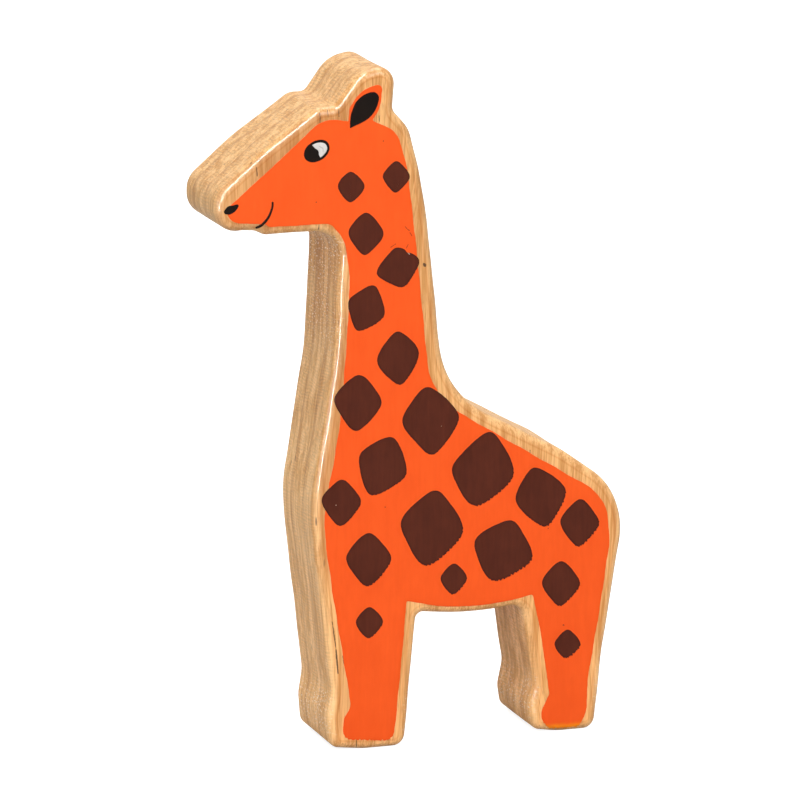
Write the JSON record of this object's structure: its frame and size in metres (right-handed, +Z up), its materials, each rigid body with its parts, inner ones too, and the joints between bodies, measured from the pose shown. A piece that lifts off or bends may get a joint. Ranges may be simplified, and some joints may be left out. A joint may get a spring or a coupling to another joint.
{
  "type": "wooden toy giraffe",
  "caption": "Flat standing toy giraffe sawn from a hardwood board, with rounded edges and a painted orange coat with brown spots on both faces.",
  "frame": {"origin": "on the standing surface, under the middle of the giraffe's bounding box", "axes": "+Z up, the giraffe looks towards -X, its left face towards -Y and its right face towards +Y"},
  "size_m": [0.0989, 0.0258, 0.1603],
  "materials": {
    "bare_wood": "pale hardwood, sanded and clear varnished, semi-gloss",
    "orange_paint": "smooth orange paint, satin",
    "brown_paint": "dark brown paint, satin",
    "black_paint": "black paint, satin",
    "white_paint": "white paint, satin"
  },
  "bodies": {
    "root": {"wood_body": "bare_wood", "orange_coat_left": "orange_paint", "spot_cheek_left": "brown_paint", "spot_nape_left": "brown_paint", "spot_neck_front_top_left": "brown_paint", "spot_neck_back_top_left": "brown_paint", "spot_neck_front_mid_left": "brown_paint", "spot_neck_back_low_left": "brown_paint", "spot_neck_front_low_left": "brown_paint", "spot_withers_left": "brown_paint", "spot_chest_left": "brown_paint", "spot_back_left": "brown_paint", "spot_breast_left": "brown_paint", "spot_loin_left": "brown_paint", "spot_rump_left": "brown_paint", "spot_flank_left": "brown_paint", "spot_belly_rear_left": "brown_paint", "spot_shoulder_left": "brown_paint", "spot_belly_small_left": "brown_paint", "spot_thigh_left": "brown_paint", "spot_foreleg_left": "brown_paint", "spot_hind_leg_left": "brown_paint", "ear_black_left": "black_paint", "eye_black_left": "black_paint", "nostril_left": "black_paint", "smile_left": "black_paint", "eye_white_left": "white_paint", "orange_coat_right": "orange_paint", "spot_cheek_right": "brown_paint", "spot_nape_right": "brown_paint", "spot_neck_front_top_right": "brown_paint", "spot_neck_back_top_right": "brown_paint", "spot_neck_front_mid_right": "brown_paint", "spot_neck_back_low_right": "brown_paint", "spot_neck_front_low_right": "brown_paint", "spot_withers_right": "brown_paint", "spot_chest_right": "brown_paint", "spot_back_right": "brown_paint", "spot_breast_right": "brown_paint", "spot_loin_right": "brown_paint", "spot_rump_right": "brown_paint", "spot_flank_right": "brown_paint", "spot_belly_rear_right": "brown_paint", "spot_shoulder_right": "brown_paint", "spot_belly_small_right": "brown_paint", "spot_thigh_right": "brown_paint", "spot_foreleg_right": "brown_paint", "spot_hind_leg_right": "brown_paint", "ear_black_right": "black_paint", "eye_black_right": "black_paint", "nostril_right": "black_paint", "smile_right": "black_paint", "eye_white_right": "white_paint"}
  },
  "joints": []
}
